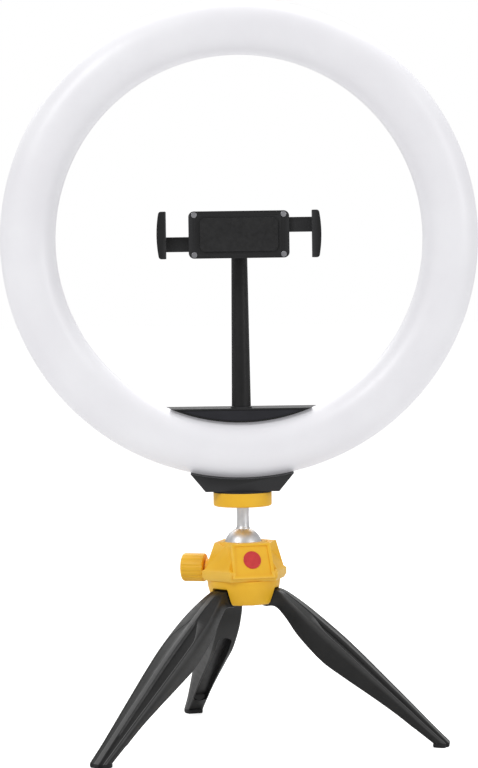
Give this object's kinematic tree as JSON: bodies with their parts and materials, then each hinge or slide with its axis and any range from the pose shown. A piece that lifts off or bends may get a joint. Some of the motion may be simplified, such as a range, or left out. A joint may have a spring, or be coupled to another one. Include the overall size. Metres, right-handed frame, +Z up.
{
  "type": "ring light on tabletop tripod",
  "caption": "Tabletop ring light: white annular diffuser on a black shell with a sprung phone clamp on a post, on a yellow ball head with a locking knob and folding black legs.",
  "frame": {"origin": "on the table under the centre of the whole object's span", "axes": "+Z up, the lamp faces -Y, +X to the right as seen from the front"},
  "size_m": [0.26, 0.1943, 0.4054],
  "materials": {
    "opal_diffuser": "smooth translucent opal moulding with a soft gloss",
    "black_shell": "fine-textured black ABS",
    "web_black": "smooth blue-black plastic",
    "yellow_plastic": "fine-textured amber-yellow ABS",
    "red_badge": "smooth red inlay",
    "satin_aluminium": "fine turned satin",
    "leg_black": "satin black glass-filled nylon",
    "rubber_black": "matt rubber",
    "brass": "turned brass",
    "steel": "zinc-plated screws and pins",
    "board_white": "white solder mask",
    "board_green": "green solder mask",
    "led": "phosphor-covered chips",
    "button_black": "satin black caps",
    "nylon": "natural nylon",
    "washer_red": "orange-red fibre washer"
  },
  "bodies": {
    "tripod_hub": {"leg_hub": "yellow_plastic", "head_housing": "yellow_plastic", "front_badge": "red_badge", "hub_screws": "steel", "pivot_pins": "steel", "clamp_nut": "brass"},
    "leg_left": {"leg_left": "leg_black", "foot_pad_left": "rubber_black"},
    "leg_right": {"leg_right": "leg_black", "foot_pad_right": "rubber_black"},
    "leg_rear": {"leg_rear": "leg_black", "foot_pad_rear": "rubber_black"},
    "clamp_slider": {"clamp_pad": "brass"},
    "clamp_knob": {"clamp_knob": "yellow_plastic", "clamp_screw": "steel", "knob_washer": "washer_red"},
    "ball_seat": {"ball_seat": "nylon"},
    "ball_stud": {"ball_stud": "satin_aluminium", "top_collar": "yellow_plastic", "collar_pad": "rubber_black"},
    "lamp": {"front_diffuser": "opal_diffuser", "rear_housing": "black_shell", "led_board": "board_white", "leds": "led", "web_plate": "web_black", "control_cover": "black_shell", "control_board": "board_green", "tact_switches": "button_black", "usb_socket": "steel", "thread_insert": "brass", "cover_screws": "steel", "housing_screws": "steel"},
    "power_button": {"power_button": "button_black"},
    "mode_button": {"mode_button": "button_black"},
    "brighter_button": {"brighter_button": "button_black"},
    "dimmer_button": {"dimmer_button": "button_black"},
    "stem": {"stem_post": "black_shell", "stem_screw": "steel"},
    "lock_nut": {"lock_nut": "black_shell"},
    "socket_liner": {"socket_liner": "nylon"},
    "phone_clamp": {"clamp_ball": "steel", "clamp_back": "black_shell", "clamp_cover": "black_shell", "clamp_screws": "steel", "back_pad": "rubber_black", "jaw_spring_left": "steel", "jaw_spring_right": "steel"},
    "jaw_left": {"jaw_left": "black_shell", "jaw_pad_left": "rubber_black"},
    "jaw_right": {"jaw_right": "black_shell", "jaw_pad_right": "rubber_black"}
  },
  "joints": [
    {"name": "leg_left_fold", "type": "hinge", "parent": "tripod_hub", "child": "leg_left", "pos_m": [-0.00938, -0.02225, 0.0802], "axis": [0.7193, -0.6947, 0], "range_deg": [0, 50]},
    {"name": "leg_right_fold", "type": "hinge", "parent": "tripod_hub", "child": "leg_right", "pos_m": [0.0131, -0.01581, 0.0802], "axis": [0.2419, 0.9703, 0], "range_deg": [0, 50]},
    {"name": "leg_rear_fold", "type": "hinge", "parent": "tripod_hub", "child": "leg_rear", "pos_m": [-0.00372, 0.00044, 0.0802], "axis": [-0.9613, -0.2756, 0], "range_deg": [0, 50]},
    {"name": "clamp_slide", "type": "slide", "parent": "tripod_hub", "child": "clamp_slider", "axis": [-0.9703, 0.2419, 0], "range_m": [0, 0.0008]},
    {"name": "knob_turn", "type": "hinge", "parent": "clamp_slider", "child": "clamp_knob", "pos_m": [0, -0.01254, 0.0956], "axis": [-0.9703, 0.2419, 0], "range_deg": [0, 360]},
    {"name": "head_pan", "type": "hinge", "parent": "tripod_hub", "child": "ball_seat", "pos_m": [0, -0.01254, 0.1076], "axis": [0, 0, 1], "continuous": true},
    {"name": "head_tilt", "type": "hinge", "parent": "ball_seat", "child": "ball_stud", "pos_m": [0, -0.01254, 0.1076], "axis": [1, 0, 0], "range_deg": [-45, 45]},
    {"name": "lamp_turn", "type": "hinge", "parent": "ball_stud", "child": "lamp", "pos_m": [0, -0.01254, 0.1384], "axis": [0, 0, 1], "continuous": true},
    {"name": "stem_turn", "type": "hinge", "parent": "lamp", "child": "stem", "pos_m": [0, -0.01504, 0.1834], "axis": [0, 0, 1], "continuous": true},
    {"name": "nut_turn", "type": "hinge", "parent": "stem", "child": "lock_nut", "pos_m": [0, -0.02154, 0.2778], "axis": [0, -1, 0], "range_deg": [0, 270]},
    {"name": "clamp_tilt", "type": "hinge", "parent": "stem", "child": "socket_liner", "pos_m": [0, -0.02154, 0.2778], "axis": [1, 0, 0], "range_deg": [-20, 20]},
    {"name": "clamp_spin", "type": "hinge", "parent": "socket_liner", "child": "phone_clamp", "pos_m": [0, -0.02154, 0.2778], "axis": [0, -1, 0], "continuous": true},
    {"name": "jaw_left_slide", "type": "slide", "parent": "phone_clamp", "child": "jaw_left", "axis": [-1, 0, 0], "range_m": [-0.0115, 0.004], "deforming": ["jaw_spring_left"]},
    {"name": "jaw_right_slide", "type": "slide", "parent": "phone_clamp", "child": "jaw_right", "axis": [1, 0, 0], "range_m": [-0.0115, 0.004], "deforming": ["jaw_spring_right"]},
    {"name": "power_press", "type": "slide", "parent": "lamp", "child": "power_button", "axis": [0, -1, 0], "range_m": [0, 0.0005], "stiffness_N_per_m": 300, "springref_m": -0.001},
    {"name": "mode_press", "type": "slide", "parent": "lamp", "child": "mode_button", "axis": [0, -1, 0], "range_m": [0, 0.0005], "stiffness_N_per_m": 300, "springref_m": -0.001},
    {"name": "brighter_press", "type": "slide", "parent": "lamp", "child": "brighter_button", "axis": [0, -1, 0], "range_m": [0, 0.0005], "stiffness_N_per_m": 300, "springref_m": -0.001},
    {"name": "dimmer_press", "type": "slide", "parent": "lamp", "child": "dimmer_button", "axis": [0, -1, 0], "range_m": [0, 0.0005], "stiffness_N_per_m": 300, "springref_m": -0.001}
  ],
  "couplings": [
    {"joint": "clamp_slide", "follows": "knob_turn", "m_per_rad": 0.00012732}
  ]
}
